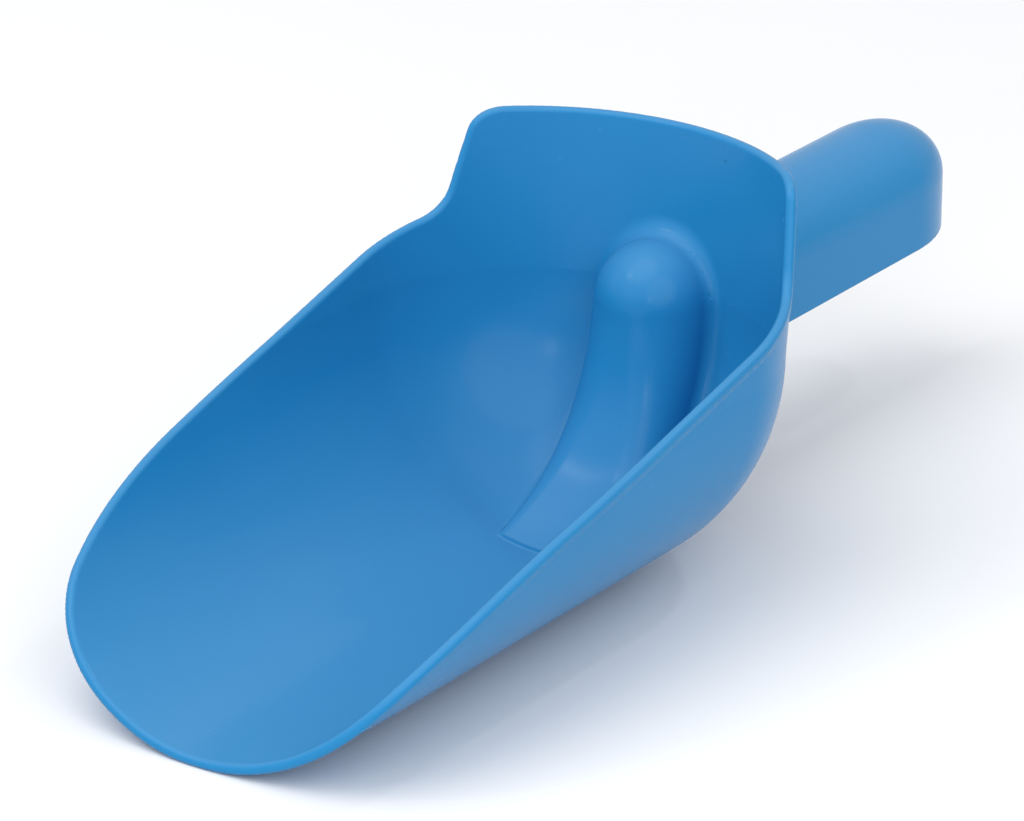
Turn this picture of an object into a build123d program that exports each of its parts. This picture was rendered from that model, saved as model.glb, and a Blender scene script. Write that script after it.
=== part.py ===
from build123d import *
import os
from math import asin, cos, degrees, radians, sin, tan

# Feed scoop: one plastic moulding with an open bowl and a hollow handle.
# Millimetres.  +Z is up, the mouth of the bowl faces -Y and the handle runs to +Y.
# The origin is under the middle of the whole scoop, on the surface that it stands on.
# The moulding is divided into its natural regions, which meet face to face.

# Overall
overall_length = 390.0
front_y = -overall_length / 2
handle_end_y = overall_length / 2

# Bowl: a half-round trough that ends in a quarter ball, slightly flattened from front to back,
# with walls above it that lean outwards a little, as a moulding needs
bowl_radius = 71.2
wall = 3.0
base_flat_depth = 0.5
bowl_axis_z = bowl_radius - base_flat_depth
heel_depth = 63.2
heel_y = -17.2
wall_flare = 0.066

# Rim line, seen from the side: a steep lip that bends over in two arcs into a straight slope,
# and a step up to the back wall
lip_angle = 73.2
lip_bend_angle = 27.2
lip_bend_z = 28.5
lip_front_radius = 48.5
lip_bend_radius = 240.0
rim_slope = 13.9
shoulder_y = 14.4
shoulder_z = 90.4
shoulder_rise = 71.7
shoulder_hollow_radius = 13.1
rim_corner_radius = 9.4
rim_top_z = 121.3
rim_height = 3.2
rim_swell = 0.35

# Handle: an upside-down U with a round top and a long rounded end, open below
grip_radius = 20.4
grip_wall = 2.2
grip_axis_z = 67.1
grip_bottom_z = 48.9
grip_end_length = 34.7
grip_end_centre_y = handle_end_y - grip_end_length

# Finger boss: a slimmer round nose on the handle's axis, swept down to the floor, hollow below
boss_radius = 18.8
boss_nose_centre_y = front_y + 232.6
boss_foot_y = front_y + 174.0
boss_foot_step = 1.4
boss_foot_corner = 4.0
boss_nose_roundness = 0.98
boss_sections = 6

# Longer than any part of the scoop, for blocks that reach past it
far = 400.0


def block(low, high):
    """A plain block between two corners, used to keep one part of a shape."""
    size = [b - a for a, b in zip(low, high)]
    centre = [(a + b) / 2 for a, b in zip(low, high)]
    return Pos(*centre) * Box(*size)


def rod(radius, start_y, end_y, height):
    """A round bar along Y at this height."""
    turned = Rot(90, 0, 0) * Cylinder(radius, end_y - start_y)
    return Pos(0, (start_y + end_y) / 2, height) * turned


def bowl_plan(half_width, depth, height):
    """The bowl seen from above at one height: straight sides and a half ellipse at the back."""
    trough = Pos(0, (heel_y - far) / 2) * Rectangle(2 * half_width, heel_y + far)
    heel = Pos(0, heel_y) * Ellipse(half_width, depth)
    return Pos(0, 0, height) * (trough + heel)


def bowl_volume(radius):
    """Everything inside the bowl's surface of this radius, open-ended at the front and top."""
    depth = heel_depth - bowl_radius + radius
    spread = wall_flare * far
    trough = rod(radius, -far, heel_y, bowl_axis_z)
    heel = Pos(0, heel_y, bowl_axis_z) * scale(Sphere(radius), by=(1, depth / radius, 1))
    low_plan = bowl_plan(radius, depth, bowl_axis_z)
    high_plan = bowl_plan(radius + spread, depth + spread, bowl_axis_z + far)
    walls = loft([low_plan, high_plan], ruled=True)
    return trough + heel + walls


def crossing(line_a, line_b):
    """Where two lines in the side view meet, each given by a point and an angle."""
    (ya, za), angle_a = line_a
    (yb, zb), angle_b = line_b
    slope_a = tan(radians(angle_a))
    slope_b = tan(radians(angle_b))
    y = (zb - za + slope_a * ya - slope_b * yb) / (slope_a - slope_b)
    return (y, za + slope_a * (y - ya))


def below_rim(inset):
    """A block of everything under the rim line, with the line moved inwards by the inset."""
    lip_bend_y = front_y + lip_bend_z / tan(radians(lip_angle))
    lines = [
        ((front_y, 0), lip_angle),
        ((lip_bend_y, lip_bend_z), lip_bend_angle),
        ((shoulder_y, shoulder_z), rim_slope),
        ((shoulder_y, shoulder_z), shoulder_rise),
        ((0, rim_top_z), 0),
    ]
    moved = [((y + inset * sin(radians(a)), z - inset * cos(radians(a))), a) for (y, z), a in lines]
    corners = [crossing(before, after) for before, after in zip(moved, moved[1:])]
    radii = [
        lip_front_radius - inset,
        lip_bend_radius - inset,
        shoulder_hollow_radius + inset,
        rim_corner_radius - inset,
    ]
    (tip_y, tip_z), _ = moved[0]
    foot = (tip_y - far / tan(radians(lip_angle)), tip_z - far)
    outline = Polyline(foot, *corners, (far, rim_top_z - inset), (far, foot[1]), close=True)
    face = make_face(outline)
    for corner, corner_radius in zip(corners, radii):
        nearest = face.vertices().sort_by_distance(Vector(*corner))[0]
        face = fillet(nearest, corner_radius)
    # This plane's own x runs along +Y and its own y along +Z
    return extrude(Plane.YZ * face, amount=far, both=True)


def grip_volume(radius, bottom_z):
    """The handle's upside-down U, from inside the bowl to its round end."""
    start_y = heel_y + heel_depth / 2
    depth = grip_axis_z - bottom_z
    end_length = grip_end_length - grip_radius + radius
    crown = rod(radius, start_y, grip_end_centre_y, grip_axis_z)
    sides = block((-radius, start_y, bottom_z), (radius, grip_end_centre_y, grip_axis_z))
    ball = Pos(0, grip_end_centre_y, grip_axis_z) * scale(Sphere(radius), by=(1, end_length / radius, 1))
    dome = ball & block((-far, -far, grip_axis_z), (far, far, far))
    end_wall = Pos(0, grip_end_centre_y, bottom_z) * extrude(Ellipse(radius, end_length), amount=depth)
    return crown + sides + dome + end_wall


def boss_section(angle, centre_y, front, half_width, corner_radius):
    """A U-shaped slice of the boss, in a plane that turns about the spine arc's centre."""
    down = radians(angle)
    outward = Vector(0, cos(down), -sin(down))
    plane = Plane(origin=(0, centre_y, grip_axis_z), x_dir=(1, 0, 0), z_dir=Vector(1, 0, 0).cross(outward))
    back = front + 2 * boss_radius
    outline = Polyline((-half_width, front), (half_width, front), (half_width, back), (-half_width, back), close=True)
    face = make_face(outline)
    front_corners = face.vertices().sort_by(Axis.Y)[:2]
    return plane * fillet(front_corners, corner_radius)


def boss_volume(inset):
    """The boss: a round nose on the handle's axis, swept down and forward to the floor."""
    radius = boss_radius - inset
    # The spine is one arc, upright at the nose and ending just above the floor at the foot
    foot_z = bowl_axis_z - bowl_radius + wall + boss_foot_step
    run = boss_nose_centre_y - boss_radius - boss_foot_y
    drop = grip_axis_z - foot_z
    spine_radius = (run**2 + drop**2) / (2 * run)
    spine_y = boss_foot_y + run - spine_radius
    foot_angle = degrees(asin(drop / spine_radius))
    sections = []
    for index in range(boss_sections):
        share = index / (boss_sections - 1)
        nose_corner = boss_nose_roundness * radius
        foot_corner = boss_foot_corner - inset
        corner_radius = nose_corner + (foot_corner - nose_corner) * share
        sections.append(boss_section(foot_angle * share, spine_y, spine_radius + inset, radius, corner_radius))
    nose = Pos(0, boss_nose_centre_y, grip_axis_z) * Sphere(radius)
    crown = rod(radius, boss_nose_centre_y, heel_y + heel_depth + wall, grip_axis_z)
    return loft(sections) + nose + crown


def save(shape, name):
    """Write one region of the moulding to its own file."""
    solids = shape.solids()
    region = Compound(children=solids) if len(solids) > 1 else solids[0]
    region.label = name
    export_step(region, f"parts/{name}.step")


def main():
    os.makedirs("parts", exist_ok=True)
    above_floor = block((-far, -far, 0), (far, far, far))
    outer = bowl_volume(bowl_radius) & above_floor
    swollen = bowl_volume(bowl_radius + rim_swell) & above_floor
    inner = bowl_volume(bowl_radius - wall)
    boss = boss_volume(0)

    walls = (outer - inner) & below_rim(rim_height)
    walls = walls - boss
    save(walls & block((-far, -far, -far), (far, heel_y, far)), "bowl_trough")
    save(walls & block((-far, heel_y, -far), (far, far, bowl_axis_z)), "bowl_heel")
    save(walls & block((-far, heel_y, bowl_axis_z), (far, far, far)), "back_wall")

    rim = (swollen - inner) & (below_rim(0) - below_rim(rim_height))
    save(rim, "rim_bead")

    save((boss - boss_volume(grip_wall)) & outer, "finger_boss")

    hollow = grip_volume(grip_radius - grip_wall, grip_bottom_z - wall)
    grip = grip_volume(grip_radius, grip_bottom_z) - hollow
    grip = grip - bowl_volume(bowl_radius)
    before_end = block((-far, -far, -far), (far, grip_end_centre_y, far))
    save(grip & before_end, "handle_grip")
    save(grip - before_end, "handle_end")


main()
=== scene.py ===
import bpy
import math
import numpy as np
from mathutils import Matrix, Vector


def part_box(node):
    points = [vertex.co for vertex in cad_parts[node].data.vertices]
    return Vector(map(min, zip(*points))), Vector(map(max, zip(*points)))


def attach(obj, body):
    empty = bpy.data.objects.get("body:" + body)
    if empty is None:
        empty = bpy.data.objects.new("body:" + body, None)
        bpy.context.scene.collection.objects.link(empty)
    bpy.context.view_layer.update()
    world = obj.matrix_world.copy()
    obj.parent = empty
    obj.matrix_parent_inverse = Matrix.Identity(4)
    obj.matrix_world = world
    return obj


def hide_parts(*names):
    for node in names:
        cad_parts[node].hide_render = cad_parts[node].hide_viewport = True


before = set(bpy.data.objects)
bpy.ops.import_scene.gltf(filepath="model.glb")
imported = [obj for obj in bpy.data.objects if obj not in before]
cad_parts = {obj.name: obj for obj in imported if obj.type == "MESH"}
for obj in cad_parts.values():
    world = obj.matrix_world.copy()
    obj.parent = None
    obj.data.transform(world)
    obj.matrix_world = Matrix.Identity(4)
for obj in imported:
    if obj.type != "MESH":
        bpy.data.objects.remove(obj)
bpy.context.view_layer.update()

# The scoop is one shot of plastic, so its surface is worked out as one continuous skin and then
# divided into the regions that the CAD names.  The skin is the zero level of a distance field
# that follows the CAD's dimensions, in millimetres: +Z up, the mouth faces -Y, the handle +Y.

MM = 1000.0


def cad_box(node):
    """A CAD node's lowest and highest corners in millimetres."""
    low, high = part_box(node)
    return np.array(low) * MM, np.array(high) * MM


rim_low, rim_high = cad_box("rim_bead")
trough_high = cad_box("bowl_trough")[1]
heel_low, heel_high = cad_box("bowl_heel")
grip_low, grip_high = cad_box("handle_grip")
end_high = cad_box("handle_end")[1]
boss_low, boss_high = cad_box("finger_boss")

# Sizes that a box doesn't give are the CAD's own driving dimensions, written out again here
WALL = 3.0
FRONT = rim_low[1]
TOP = rim_high[2]
RADIUS = heel_high[0]
AXIS = heel_high[2]
FLAT = RADIUS - AXIS
HEEL = heel_low[1]
HEEL_DEPTH = 63.2
FLARE = 0.066

# The rim line: a lip that bends over in two arcs, a long slope, a shoulder and a step up
LIP_ANGLE = math.radians(73.2)
LIP_BEND_ANGLE = math.radians(27.2)
LIP_BEND_Z = 28.5
SLOPE = math.radians(13.9)
SHOULDER = (14.4, 90.4)
RISE = math.radians(71.7)
RIM_RADII = (48.5, 240.0, 13.1, 9.4)

# The rim's height, how far it stands out, and the rounding of its edges
BEAD = 3.2
SWELL = 0.35
EDGE = 1.55

GRIP = grip_high[0]
GRIP_WALL = 2.2
GRIP_AXIS = end_high[2] - GRIP
GRIP_LOW = grip_low[2]
END_LENGTH = 34.7
GRIP_END = end_high[1] - END_LENGTH

BOSS = boss_high[0]
NOSE = FRONT + 232.6
FOOT = boss_low[1]
FOOT_STEP = 1.4
FOOT_CORNER = 4.0
WIDEN_FROM = 40.0
WIDEN_TO = 48.0
LOWER_EDGE = 0.9

# Fillets where the boss meets the bowl, at its foot and further up, and where the handle meets it
FOOT_ROOT = 0.7
ROOT = 5.0
GRIP_ROOT = 3.0

# How far out into those fillets the regions' borders lie
BOSS_BORDER = 0.8
GRIP_BORDER = 1.0


def ramp(start, end, value):
    """0 at start and before, 1 at end and after, with a smooth change between."""
    t = np.clip((value - start) / (end - start), 0, 1)
    return t * t * (3 - 2 * t)


def meet(a, b, radius):
    """What is inside both shapes, with the edge rounded."""
    round_part = np.hypot(np.maximum(radius + a, 0), np.maximum(radius + b, 0))
    return np.minimum(-radius, np.maximum(a, b)) + round_part


def join(a, b, radius):
    """What is inside either shape, with a fillet in the corner."""
    round_part = np.hypot(np.maximum(radius - a, 0), np.maximum(radius - b, 0))
    return np.maximum(radius, np.minimum(a, b)) - round_part


def heading(angle):
    return np.array([math.cos(angle), math.sin(angle)])


def crossing(a, angle_a, b, angle_b):
    """Where two lines in the side view meet, each given by a point and its angle."""
    sides = np.stack([heading(angle_a), -heading(angle_b)], 1)
    return a + heading(angle_a) * np.linalg.solve(sides, b - a)[0]


def rim_line():
    """The rim seen from the side, as points from below the lip to the back, with rounded corners."""
    tip = np.array([FRONT, 0.0])
    shoulder = np.array(SHOULDER)
    bend = tip + heading(LIP_ANGLE) * LIP_BEND_Z / math.sin(LIP_ANGLE)
    upper_bend = crossing(bend, LIP_BEND_ANGLE, shoulder, SLOPE)
    top = crossing(shoulder, RISE, np.array([0.0, TOP]), 0.0)
    corners = [tip - heading(LIP_ANGLE) * 60.0, bend, upper_bend, shoulder, top, np.array([150.0, TOP])]
    line = [corners[0]]
    for before, corner, after, radius in zip(corners, corners[1:], corners[2:], RIM_RADII):
        back = (before - corner) / np.linalg.norm(before - corner)
        ahead = (after - corner) / np.linalg.norm(after - corner)
        half = math.acos(back @ ahead) / 2
        middle = (back + ahead) / np.linalg.norm(back + ahead)
        centre = corner + middle * radius / math.sin(half)
        spokes = [corner + way * radius / math.tan(half) - centre for way in (back, ahead)]
        first, last = (math.atan2(spoke[1], spoke[0]) for spoke in spokes)
        turn = (last - first + math.pi) % math.tau - math.pi
        line += [centre + radius * heading(first + turn * t) for t in np.linspace(0, 1, 40)]
    line.append(corners[-1])
    return np.array(line)


class RimTable:
    """Signed distance from the rim line in the side view, kept as a table.  Above is positive."""

    step = 0.5
    low_y, high_y = -206.0, 80.0
    low_z, high_z = -12.0, 140.0

    def __init__(self):
        y = np.arange(self.low_y, self.high_y, self.step)
        z = np.arange(self.low_z, self.high_z, self.step)
        grid_y, grid_z = np.meshgrid(y, z, indexing="ij")
        points = np.stack([grid_y.ravel(), grid_z.ravel()], 1)
        line = rim_line()
        best = np.full(len(points), 1e9)
        side = np.zeros(len(points))
        for a, b in zip(line[:-1], line[1:]):
            ab = b - a
            t = np.clip((points - a) @ ab / (ab @ ab), 0, 1)
            away = points - a - t[:, None] * ab
            distance = np.hypot(away[:, 0], away[:, 1])
            nearer = distance < best - 1e-9
            best[nearer] = distance[nearer]
            side[nearer] = np.sign(ab[0] * away[:, 1] - ab[1] * away[:, 0])[nearer]
        self.table = (best * side).reshape(grid_y.shape)

    def __call__(self, y, z):
        rows, columns = self.table.shape
        u = np.clip((y - self.low_y) / self.step, 0, rows - 1.001)
        v = np.clip((z - self.low_z) / self.step, 0, columns - 1.001)
        i = u.astype(int)
        j = v.astype(int)
        a = u - i
        b = v - j
        t = self.table
        near = t[i, j] * (1 - a) + t[i + 1, j] * a
        further = t[i, j + 1] * (1 - a) + t[i + 1, j + 1] * a
        return near * (1 - b) + further * b


rim_table = RimTable()


def finger(x, y, z, inset):
    """The handle's upside-down U, from its round end to the nose, then swept down to the boss's foot."""
    radius = BOSS + (GRIP - BOSS) * ramp(WIDEN_FROM, WIDEN_TO, y) - inset
    side = np.abs(x)
    y = y + np.maximum(y - GRIP_END, 0) * ((GRIP - inset) / (END_LENGTH - inset) - 1)
    beyond = np.maximum(np.maximum(y - GRIP_END, NOSE - y), 0)
    crown = np.sqrt(side**2 + beyond**2 + np.maximum(z - GRIP_AXIS, 0) ** 2) - radius

    # The front of the boss is an arc that is upright at the nose and ends just above the floor
    foot_z = AXIS - RADIUS + WALL + FOOT_STEP
    run = NOSE - BOSS - FOOT
    drop = GRIP_AXIS - foot_z
    spine = (run**2 + drop**2) / (2 * run)
    spine_y = FOOT + run - spine
    foot_angle = math.asin(drop / spine)
    ahead = np.maximum(y - spine_y, 1e-3)

    # Towards the foot the front face takes on the curve of the bowl's floor
    floor_radius = RADIUS - WALL
    sag = floor_radius - np.sqrt(floor_radius**2 - np.minimum(side, 26.0) ** 2)
    share = np.clip(np.arctan2(GRIP_AXIS - z, ahead) / foot_angle, 0, 1.3)
    depth = GRIP_AXIS - (z - sag * ramp(0.35, 1.0, share))
    share = np.clip(np.arctan2(depth, ahead) / foot_angle, 0, 1)
    corner = np.maximum(BOSS + (FOOT_CORNER - BOSS) * share - inset, 0.8)
    across = side - (radius - corner)
    inwards = spine + inset + corner - np.hypot(y - spine_y, depth)
    front = np.hypot(np.maximum(across, 0), np.maximum(inwards, 0)) - corner
    front = front + np.minimum(np.maximum(across, inwards), 0)
    rear = np.hypot(side, np.maximum(y - GRIP_END, 0)) - radius
    return np.where(z >= GRIP_AXIS, crown, np.maximum(front, rear))


def bowl(x, y, z, radius, depth):
    """Distance outside the bowl's surface of this radius, and that surface's direction in Y and Z."""
    axis = AXIS + FLAT * ramp(-150.0, -188.0, y)
    low = np.minimum(z - axis, 0)
    high = np.maximum(z - axis, 0)
    radius = radius + FLARE * high
    depth = depth + FLARE * high
    back = np.maximum(y - HEEL, 0)
    around = np.sqrt(x * x + low * low)
    size = np.sqrt((around / radius) ** 2 + (back / depth) ** 2) + 1e-9
    slope_around = around / radius / size
    slope_back = back / depth * radius / depth / size
    slope = np.maximum(np.hypot(slope_around, slope_back), 1e-3)
    distance = (size - 1) * radius / slope
    normal_y = slope_back / slope
    normal_z = slope_around / slope * low / (around + 1e-9)
    return distance, normal_y, normal_z


def fields(x, y, z):
    """The scoop's distance field, with the parts of it that divide the skin into regions."""
    outside, normal_y, normal_z = bowl(x, y, z, RADIUS, HEEL_DEPTH)
    inside = bowl(x, y, z, RADIUS - WALL, HEEL_DEPTH - WALL)[0]

    # How far above the rim line, measured along the wall
    foot_y = y - outside * normal_y
    foot_z = z - outside * normal_z
    e = 0.5
    above = rim_table(foot_y, foot_z)
    slope_y = (rim_table(foot_y + e, foot_z) - rim_table(foot_y - e, foot_z)) / (2 * e)
    slope_z = (rim_table(foot_y, foot_z + e) - rim_table(foot_y, foot_z - e)) / (2 * e)
    lean = slope_y * normal_y + slope_z * normal_z
    above = above / np.sqrt(np.maximum(1 - lean * lean, 0.1))

    finger_skin = finger(x, y, z, 0.0)
    boss = meet(finger_skin, FOOT - y, LOWER_EDGE)
    root = FOOT_ROOT + (ROOT - FOOT_ROOT) * ramp(FOOT + 2, FOOT + 22, y)
    cavity = join(-inside, boss, root)
    swollen = outside - SWELL * ramp(-BEAD - 0.6, -BEAD + 0.4, above)
    skin = np.maximum(meet(swollen, above, EDGE), meet(cavity, above, EDGE))

    grip = meet(finger_skin, GRIP_LOW - z, LOWER_EDGE)
    grip = np.maximum(grip, -(outside + 1.5))
    skin = join(skin, grip, GRIP_ROOT * np.clip(outside + 1.2, 0.02, 1))

    hollow = finger(x, y, z, GRIP_WALL)
    hollow = meet(hollow, FOOT + GRIP_WALL + 1.5 - y, 1.5)
    skin = meet(skin, -hollow, 0.8)
    skin = meet(skin, -z, 0.8)
    return skin, outside, above, finger_skin


def skin_at(points):
    return fields(points[:, 0], points[:, 1], points[:, 2])[0]


def gradient(points, e):
    """The field's slope at each point, by differences over e."""
    slope = np.empty_like(points)
    for axis in range(3):
        step = np.zeros(3)
        step[axis] = e
        slope[:, axis] = (skin_at(points + step) - skin_at(points - step)) / (2 * e)
    return slope


# A region's place in this list is its label
REGIONS = [
    "air",
    "bowl_trough",
    "bowl_heel",
    "back_wall",
    "rim_bead",
    "finger_boss",
    "handle_grip",
    "handle_end",
]


def region_labels(points):
    """Which region each point is in, and 0 in the air.  Borders cross the fillets at a fair angle."""
    x, y, z = points.T
    skin, outside, above, finger_skin = fields(x, y, z)
    label = np.where(y < HEEL, 1, np.where(z < AXIS, 2, 3))
    label = np.where(above > -BEAD, 4, label)
    boss = np.maximum(finger_skin, FOOT - y)
    label = np.where((boss < BOSS_BORDER) & (outside < 0) & (above < -BEAD), 5, label)
    behind = (outside >= 0) & (y > HEEL + HEEL_DEPTH / 2)
    label = np.where(behind & (finger_skin < GRIP_BORDER), 6, label)
    label = np.where((outside >= 0) & (y > GRIP_END), 7, label)
    return np.where(skin < 0, label, 0).astype(np.int8)


def spaced(low, high, step, fine):
    """Grid lines from low to high, closer together inside the fine ranges."""
    lines = [low]
    while lines[-1] < high:
        here = lines[-1]
        close = [s for a, b, s in fine if a <= here < b]
        lines.append(here + (min(close) if close else step))
    return np.array(lines)


def label_grid(xs, ys, zs):
    """Region labels at every grid point.  Only blocks near the skin are worked out point by point."""
    block = 8
    shape = (len(xs), len(ys), len(zs))
    labels = np.zeros(shape, np.int8)
    starts = [np.arange(0, n, block) for n in shape]
    centres = [
        np.array([(line[s] + line[min(s + block, len(line) - 1)]) / 2 for s in start])
        for line, start in zip((xs, ys, zs), starts)
    ]
    cx, cy, cz = np.meshgrid(*centres, indexing="ij")
    middle = np.stack([cx.ravel(), cy.ravel(), cz.ravel()], 1)
    # A block whose middle is further off than this holds none of the skin
    reach = 11.0
    close = np.abs(skin_at(middle)) < reach
    i0, j0, k0 = np.meshgrid(*starts, indexing="ij")
    corners = np.stack([i0.ravel(), j0.ravel(), k0.ravel()], 1)[close]
    offset = np.stack(np.meshgrid(*[np.arange(block)] * 3, indexing="ij"), -1).reshape(-1, 3)
    where = (corners[:, None, :] + offset[None]).reshape(-1, 3)
    where = where[(where < np.array(shape)).all(1)]
    for part in np.array_split(where, max(1, len(where) // 400000)):
        i, j, k = part.T
        points = np.stack([xs[i], ys[j], zs[k]], 1)
        labels[i, j, k] = region_labels(points)
    return labels


def part_diagonals(labels):
    """Where a region touches itself only across a diagonal, give it one more solid point there, so
    that no edge of a piece ends up shared by four of its faces."""
    for _ in range(8):
        before = labels.copy()
        for axis in range(3):
            grid = np.moveaxis(labels, axis, 0)
            a, b, c, d = grid[:, :-1, :-1], grid[:, 1:, :-1], grid[:, :-1, 1:], grid[:, 1:, 1:]
            for p, q, r, s in ((a, d, b, c), (b, c, a, d)):
                for other in (r, s):
                    alone = (p == q) & (p != r) & (p != s) & (p > 0) & (other > 0)
                    other[alone] = p[alone]
        if (before == labels).all():
            break
    return labels


def net(labels, xs, ys, zs):
    """Surface nets over several labels: a vertex in each mixed cell, a quad round each mixed edge.
    Each quad keeps the labels on its low and high sides, so neighbouring regions share their border."""
    base = labels[:-1, :-1, :-1]
    size_x, size_y, size_z = base.shape
    mixed = np.zeros(base.shape, bool)
    airy = base == 0
    for i in (0, 1):
        for j in (0, 1):
            for k in (0, 1):
                corner = labels[i : size_x + i, j : size_y + j, k : size_z + k]
                mixed |= corner != base
                airy |= corner == 0
    cells = np.argwhere(mixed)
    ids = np.full(base.shape, -1, np.int64)
    ids[tuple(cells.T)] = np.arange(len(cells))
    mids = [(line[:-1] + line[1:]) / 2 for line in (xs, ys, zs)]
    points = np.stack([mid[cells[:, axis]] for axis, mid in enumerate(mids)], 1)
    on_skin = airy[tuple(cells.T)]

    quads = []
    sides = []
    for axis in range(3):
        low = np.moveaxis(labels, axis, 0)[:-1, 1:-1, 1:-1]
        high = np.moveaxis(labels, axis, 0)[1:, 1:-1, 1:-1]
        i, j, k = np.nonzero(low != high)
        moved = np.moveaxis(ids, axis, 0)
        ring = [moved[i, j, k], moved[i, j + 1, k], moved[i, j + 1, k + 1], moved[i, j, k + 1]]
        # moveaxis on Y leaves the other two as X, Z, which turns the other way round
        if axis == 1:
            ring.reverse()
        quads.append(np.stack(ring, 1))
        sides.append(np.stack([low[i, j, k], high[i, j, k]], 1))
    return points, on_skin, np.concatenate(quads), np.concatenate(sides)


def both_ways(quads):
    """Every edge of the quads, once in each direction."""
    edges = np.concatenate([quads[:, [a, b]] for a, b in ((0, 1), (1, 2), (2, 3), (3, 0))])
    return np.concatenate([edges, edges[:, ::-1]])


def relax(points, on_skin, quads, sides, rounds):
    """Even out the vertices, bringing those on the skin back to it each time.
    A vertex on the skin follows only its neighbours along the skin, so thin walls stay two-sided."""
    airy = (sides == 0).any(1)
    along_skin = both_ways(quads[airy])
    buried = both_ways(quads[~airy])
    edges = np.concatenate([along_skin, buried[~on_skin[buried[:, 0]]]])
    a, b = edges.T
    count = np.maximum(np.bincount(a, minlength=len(points)), 1)[:, None]
    for step in range(rounds):
        if step:
            total = np.stack([np.bincount(a, points[b, axis], len(points)) for axis in range(3)], 1)
            points = points + 0.7 * (total / count - points)
        for _ in range(3 if step in (0, rounds - 1) else 1):
            slope = gradient(points[on_skin], 0.05)
            size = np.maximum((slope * slope).sum(1), 0.2)
            points[on_skin] -= slope * (skin_at(points[on_skin]) / size)[:, None]
    return points


def make_piece(name, label, points, normals, quads, sides, material):
    """One region's closed mesh, shaded by the skin's own normals."""
    on_low = sides[:, 0] == label
    on_high = sides[:, 1] == label
    faces = np.concatenate([quads[on_low], quads[on_high][:, ::-1]])
    open_air = np.concatenate([sides[on_low, 1], sides[on_high, 0]]) == 0
    used, faces = np.unique(faces, return_inverse=True)
    faces = faces.reshape(-1, 4)
    mesh = bpy.data.meshes.new(name)
    mesh.vertices.add(len(used))
    mesh.vertices.foreach_set("co", (points[used] / MM).astype(np.float32).ravel())
    mesh.loops.add(faces.size)
    mesh.loops.foreach_set("vertex_index", faces.astype(np.int32).ravel())
    mesh.polygons.add(len(faces))
    mesh.polygons.foreach_set("loop_start", np.arange(0, faces.size, 4, dtype=np.int32))
    mesh.polygons.foreach_set("loop_total", np.full(len(faces), 4, np.int32))
    mesh.update(calc_edges=True)
    mesh.polygons.foreach_set("use_smooth", open_air)
    # The buried faces between regions are flat, and every edge of theirs is sharp, so that their
    # normals never reach the skin
    loop_edges = np.empty(faces.size, np.int32)
    mesh.loops.foreach_get("edge_index", loop_edges)
    sharp = np.zeros(len(mesh.edges), bool)
    sharp[loop_edges.reshape(-1, 4)[~open_air].ravel()] = True
    mesh.edges.foreach_set("use_edge_sharp", sharp)
    flat = np.empty(len(faces) * 3, np.float32)
    mesh.polygons.foreach_get("normal", flat)
    flat = flat.reshape(-1, 3)
    loop_normals = np.where(open_air[:, None, None], normals[used][faces], flat[:, None, :])
    shading = mesh.attributes.new("custom_normal", "FLOAT_VECTOR", "CORNER")
    shading.data.foreach_set("vector", loop_normals.astype(np.float32).ravel())
    mesh.materials.append(material)
    piece = bpy.data.objects.new(name, mesh)
    bpy.context.scene.collection.objects.link(piece)
    return piece


# ---------------------------------------------------------------- materials


class Nodes:
    """Short calls for building a node material."""

    def __init__(self, name):
        self.material = bpy.data.materials.new(name)
        self.material.use_nodes = True
        self.tree = self.material.node_tree
        self.tree.nodes.clear()
        self.output = self.tree.nodes.new("ShaderNodeOutputMaterial")
        self.shader = self.tree.nodes.new("ShaderNodeBsdfPrincipled")
        self.link(self.shader.outputs[0], self.output.inputs["Surface"])

    def link(self, source, target):
        self.tree.links.new(source, target)

    def node(self, kind, **settings):
        made = self.tree.nodes.new(kind)
        for key, value in settings.items():
            setattr(made, key, value)
        return made

    def noise(self, place, scale, detail=2.0, roughness=0.5, stretch=None):
        if stretch is not None:
            mapping = self.node("ShaderNodeMapping")
            mapping.inputs["Scale"].default_value = stretch
            self.link(place, mapping.inputs["Vector"])
            place = mapping.outputs[0]
        made = self.node("ShaderNodeTexNoise")
        made.inputs["Scale"].default_value = scale
        made.inputs["Detail"].default_value = detail
        made.inputs["Roughness"].default_value = roughness
        self.link(place, made.inputs["Vector"])
        return made.outputs["Fac"]

    def span(self, value, low, high, to_low, to_high):
        made = self.node("ShaderNodeMapRange")
        ends = {"From Min": low, "From Max": high, "To Min": to_low, "To Max": to_high}
        for name, number in ends.items():
            made.inputs[name].default_value = number
        self.link(value, made.inputs["Value"])
        return made.outputs[0]

    def math(self, operation, a, b):
        made = self.node("ShaderNodeMath", operation=operation)
        for socket, value in zip(made.inputs, (a, b)):
            if isinstance(value, (int, float)):
                socket.default_value = value
            else:
                self.link(value, socket)
        return made.outputs[0]

    def blend(self, amount, a, b):
        made = self.node("ShaderNodeMix", data_type="RGBA")
        if isinstance(amount, (int, float)):
            made.inputs["Factor"].default_value = amount
        else:
            self.link(amount, made.inputs["Factor"])
        for name, value in (("A", a), ("B", b)):
            socket = [s for s in made.inputs if s.name == name and s.type == "RGBA"][0]
            if isinstance(value, tuple):
                socket.default_value = value + (1.0,)
            else:
                self.link(value, socket)
        return [s for s in made.outputs if s.type == "RGBA"][0]

    def bump(self, height, strength, distance, normal=None):
        made = self.node("ShaderNodeBump")
        made.inputs["Strength"].default_value = strength
        made.inputs["Distance"].default_value = distance
        self.link(height, made.inputs["Height"])
        if normal is not None:
            self.link(normal, made.inputs["Normal"])
        return made.outputs[0]


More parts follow.
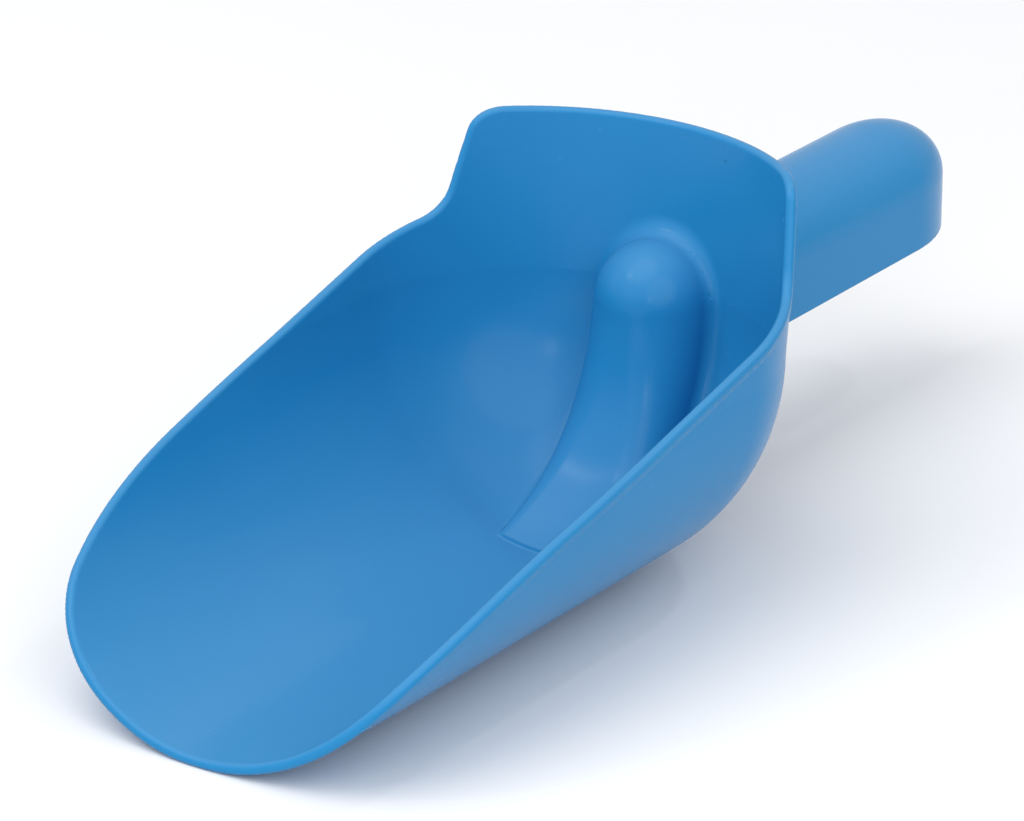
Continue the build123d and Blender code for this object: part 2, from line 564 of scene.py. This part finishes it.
def scoop_plastic():
    """Blue polypropylene with a satin gloss: faint flow marks, a fine moulded texture, rubbed rims."""
    n = Nodes("blue_plastic")
    place = n.node("ShaderNodeTexCoord").outputs["Object"]

    cloud = n.noise(place, 9.0, 3.0, 0.55)
    flow = n.noise(place, 26.0, 2.0, 0.5, stretch=(1.0, 0.16, 1.0))
    deep = (0.0155, 0.2050, 0.4560)
    light = (0.0180, 0.2160, 0.4750)
    colour = n.blend(n.span(cloud, 0.35, 0.65, 0.0, 1.0), deep, light)
    colour = n.blend(n.span(flow, 0.55, 0.80, 0.0, 0.30), colour, (0.0230, 0.2300, 0.4950))

    # Painted highlight: faces that look up are mixed towards a paler, whiter blue, standing in for the
    # overhead light and its sheen, made a little uneven by the cloud noise
    upward = n.node("ShaderNodeSeparateXYZ")
    n.link(n.node("ShaderNodeNewGeometry").outputs["Normal"], upward.inputs[0])
    painted_top_highlight = n.span(upward.outputs["Z"], 0.25, 0.95, 0.0, 1.0)
    painted_top_highlight = n.math("MULTIPLY", painted_top_highlight, n.span(cloud, 0.2, 0.8, 0.85, 1.0))
    colour = n.blend(painted_top_highlight, colour, (0.0520, 0.2480, 0.5000))

    # A few dark specks of pigment, a fraction of a millimetre across
    speck = n.node("ShaderNodeTexVoronoi", feature="F1")
    speck.inputs["Scale"].default_value = 55.0
    speck.inputs["Randomness"].default_value = 1.0
    n.link(place, speck.inputs["Vector"])
    chance = n.noise(place, 37.0, 0.0, 0.5)
    spot = n.span(speck.outputs["Distance"], 0.022, 0.034, 1.0, 0.0)
    dot = n.math("MULTIPLY", spot, n.span(chance, 0.66, 0.68, 0.0, 1.0))
    colour = n.blend(n.math("MULTIPLY", dot, 0.6), colour, (0.006, 0.090, 0.230))

    # Fine scratches from scooping run mostly along the bowl
    scratch = n.noise(place, 210.0, 2.0, 0.6, stretch=(1.0, 0.045, 1.0))
    rubbed = n.noise(place, 17.0, 3.0, 0.6)
    line = n.span(scratch, 0.62, 0.72, 0.0, 1.0)
    scuff = n.math("MULTIPLY", line, n.span(rubbed, 0.50, 0.70, 0.0, 1.0))
    colour = n.blend(n.math("MULTIPLY", scuff, 0.10), colour, (0.10, 0.34, 0.62))
    n.link(colour, n.shader.inputs["Base Color"])

    patch = n.noise(place, 14.0, 3.0, 0.6)
    rough = n.span(patch, 0.3, 0.7, 0.20, 0.27)
    rough = n.math("ADD", rough, n.math("MULTIPLY", scuff, 0.16))
    n.link(rough, n.shader.inputs["Roughness"])

    grain = n.noise(place, 1900.0, 1.0, 0.5)
    peel = n.noise(place, 150.0, 2.0, 0.5)
    wave = n.noise(place, 22.0, 1.0, 0.5)
    normal = n.bump(wave, 0.30, 0.0006)
    normal = n.bump(peel, 0.10, 0.00022, normal)
    normal = n.bump(grain, 0.10, 0.00003, normal)
    normal = n.bump(scratch, 0.05, 0.00004, normal)
    n.link(normal, n.shader.inputs["Normal"])
    n.shader.inputs["IOR"].default_value = 1.49
    n.shader.inputs["Specular IOR Level"].default_value = 0.14
    return n.material


def pale_floor():
    """A matt, nearly white studio sweep."""
    n = Nodes("studio_floor")
    place = n.node("ShaderNodeTexCoord").outputs["Object"]
    cloud = n.noise(place, 1.3, 3.0, 0.5)
    colour = n.blend(n.span(cloud, 0.3, 0.7, 0.0, 1.0), (0.86, 0.865, 0.87), (0.89, 0.89, 0.89))
    n.link(colour, n.shader.inputs["Base Color"])
    grain = n.noise(place, 700.0, 2.0, 0.5)
    n.link(n.span(grain, 0.3, 0.7, 0.75, 0.85), n.shader.inputs["Roughness"])
    n.link(n.bump(grain, 0.05, 0.0002), n.shader.inputs["Normal"])
    n.shader.inputs["Specular IOR Level"].default_value = 0.2
    return n.material


# ---------------------------------------------------------------- the scoop

margin = 3.0
cell = 1.0
fine_y = [(FOOT - 3.0, FOOT + 3.0, 0.5)]
fine_z = [(-1.0, 5.0, 0.7), (GRIP_LOW - 1.5, GRIP_LOW + 2.0, 0.6), (TOP - 3.5, TOP + 1.0, 0.6)]
grid_x = spaced(-trough_high[0] - margin, trough_high[0] + margin, cell, [])
grid_y = spaced(FRONT - margin, end_high[1] + margin, cell, fine_y)
grid_z = spaced(-margin, TOP + margin, cell, fine_z)
labels = part_diagonals(label_grid(grid_x, grid_y, grid_z))
points, on_skin, quads, sides = net(labels, grid_x, grid_y, grid_z)
points = relax(points, on_skin, quads, sides, 5)
normals = np.zeros_like(points)
normals[on_skin] = gradient(points[on_skin], 0.12)
normals /= np.maximum(np.linalg.norm(normals, axis=1, keepdims=True), 1e-9)

plastic = scoop_plastic()
for label, node in enumerate(REGIONS):
    if label == 0:
        continue
    piece = make_piece(node + "_skin", label, points, normals, quads, sides, plastic)
    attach(piece, "root")
    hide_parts(node)

# ---------------------------------------------------------------- studio

floor_mesh = bpy.data.meshes.new("studio_floor")
floor_size = 12.0
sectors = 96
floor_points = [(0.0, 0.0, 0.0)]
for i in range(sectors):
    turn = math.tau * i / sectors
    floor_points.append((floor_size * math.cos(turn), floor_size * math.sin(turn), 0.0))
floor_faces = [(0, i + 1, (i + 1) % sectors + 1) for i in range(sectors)]
floor_mesh.from_pydata(floor_points, [], floor_faces)
floor_mesh.materials.append(pale_floor())
floor = bpy.data.objects.new("studio_floor", floor_mesh)
bpy.context.scene.collection.objects.link(floor)

world = bpy.data.worlds.new("studio")
bpy.context.scene.world = world
world.use_nodes = True
backdrop = world.node_tree.nodes["Background"]
backdrop.inputs["Color"].default_value = (0.96, 0.97, 1.0, 1.0)
backdrop.inputs["Strength"].default_value = 0.71

# The point in the middle of the camera's view, which the lights face too
target = Vector((-0.001827, -0.03646, 0.054424))


def towards(azimuth, elevation):
    """A direction out from the scoop.  Azimuth 0 is in front of the mouth, 90 is to the right."""
    a = math.radians(azimuth)
    e = math.radians(elevation)
    return Vector((math.sin(a) * math.cos(e), -math.cos(a) * math.cos(e), math.sin(e)))


def area_light(name, azimuth, elevation, distance, size, power):
    """A round white light that faces the scoop."""
    data = bpy.data.lights.new(name, "AREA")
    data.shape = "DISK"
    data.size = size
    data.energy = power
    back = towards(azimuth, elevation)
    light = bpy.data.objects.new(name, data)
    light.location = target + back * distance
    light.rotation_mode = "QUATERNION"
    light.rotation_quaternion = back.to_track_quat("Z", "Y")
    light.visible_camera = False
    bpy.context.scene.collection.objects.link(light)


area_light("overhead_softbox", -30.0, 68.0, 2.2, 2.0, 18.0)
area_light("side_softbox", 48.0, 34.0, 2.4, 2.4, 22.0)
area_light("front_softbox", -15.0, 30.0, 2.4, 2.0, 6.0)
area_light("back_lamp", 151.0, 55.0, 2.4, 0.10, 2.5)
area_light("low_lamp", 23.0, 18.0, 2.6, 0.10, 2.0)
area_light("left_lamp", -45.0, 46.0, 2.4, 0.10, 2.0)

camera_data = bpy.data.cameras.new("camera")
camera = bpy.data.objects.new("camera", camera_data)
bpy.context.scene.collection.objects.link(camera)
bpy.context.scene.camera = camera
camera_data.sensor_width = 36.0
camera_data.lens = 205.3125
back = towards(34.637, 22.018)
camera.location = target + back * 1.730684
camera.rotation_mode = "QUATERNION"
camera.rotation_quaternion = back.to_track_quat("Z", "Y")
camera_data.clip_start = 0.05
camera_data.clip_end = 60.0

bpy.context.scene.view_settings.view_transform = "Standard"
bpy.context.scene.view_settings.look = "None"
